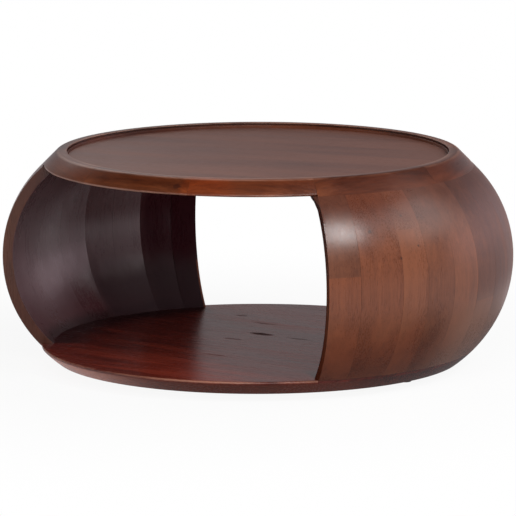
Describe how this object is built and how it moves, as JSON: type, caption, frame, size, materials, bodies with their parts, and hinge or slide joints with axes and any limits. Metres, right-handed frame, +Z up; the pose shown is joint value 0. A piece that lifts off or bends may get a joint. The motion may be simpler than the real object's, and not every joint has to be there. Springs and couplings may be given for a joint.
{
  "type": "drum table",
  "caption": "Low round coffee table shaped like a squat drum: two coopered wooden shells, open front and back, between a round base and a rimmed tray top.",
  "frame": {"origin": "on the floor, on the drum's axis, midway in the table's length and depth", "axes": "+Z up; X runs from shell to shell, +X to the shell on the right seen from the front; the way through runs along Y, and the front looks to -Y"},
  "size_m": [0.9, 0.7648, 0.38],
  "materials": {
    "stave_wood": "dark stained hardwood under a satin lacquer, plain grain running upright",
    "base_wood": "dark red-brown stained hardwood under a glossy lacquer, grain from shell to shell",
    "tray_wood": "stained hardwood under a satin lacquer, grain from shell to shell",
    "rim_wood": "dark stained hardwood under a satin lacquer, grain round the rim",
    "foot_wood": "turned hardwood, stained nearly black, matt",
    "dowel_wood": "unstained beech",
    "steel": "plain zinc-plated steel"
  },
  "bodies": {
    "root": {"base_board_1": "base_wood", "base_board_2": "base_wood", "base_board_3": "base_wood", "base_board_4": "base_wood", "base_board_5": "base_wood", "base_board_6": "base_wood", "base_board_7": "base_wood", "tray_board_1": "tray_wood", "tray_board_2": "tray_wood", "tray_board_3": "tray_wood", "tray_board_4": "tray_wood", "tray_board_5": "tray_wood", "tray_board_6": "tray_wood", "tray_board_7": "tray_wood", "rim_segment_1": "rim_wood", "rim_segment_2": "rim_wood", "rim_segment_3": "rim_wood", "rim_segment_4": "rim_wood", "rim_segment_5": "rim_wood", "rim_segment_6": "rim_wood", "rim_segment_7": "rim_wood", "rim_segment_8": "rim_wood", "rim_segment_9": "rim_wood", "rim_segment_10": "rim_wood", "stave_right_1_lower": "stave_wood", "stave_right_1_upper": "stave_wood", "stave_right_2": "stave_wood", "stave_right_3_lower": "stave_wood", "stave_right_3_upper": "stave_wood", "stave_right_4": "stave_wood", "stave_right_5": "stave_wood", "stave_right_6_lower": "stave_wood", "stave_right_6_upper": "stave_wood", "stave_right_7": "stave_wood", "stave_right_8": "stave_wood", "stave_right_9": "stave_wood", "stave_left_1": "stave_wood", "stave_left_2_lower": "stave_wood", "stave_left_2_upper": "stave_wood", "stave_left_3": "stave_wood", "stave_left_4": "stave_wood", "stave_left_5_lower": "stave_wood", "stave_left_5_upper": "stave_wood", "stave_left_6": "stave_wood", "stave_left_7": "stave_wood", "stave_left_8_lower": "stave_wood", "stave_left_8_upper": "stave_wood", "stave_left_9": "stave_wood", "foot_1": "foot_wood", "foot_2": "foot_wood", "foot_3": "foot_wood", "foot_screws": "steel", "base_dowels": "dowel_wood", "rim_dowels": "dowel_wood", "rim_splines": "dowel_wood"}
  },
  "joints": []
}
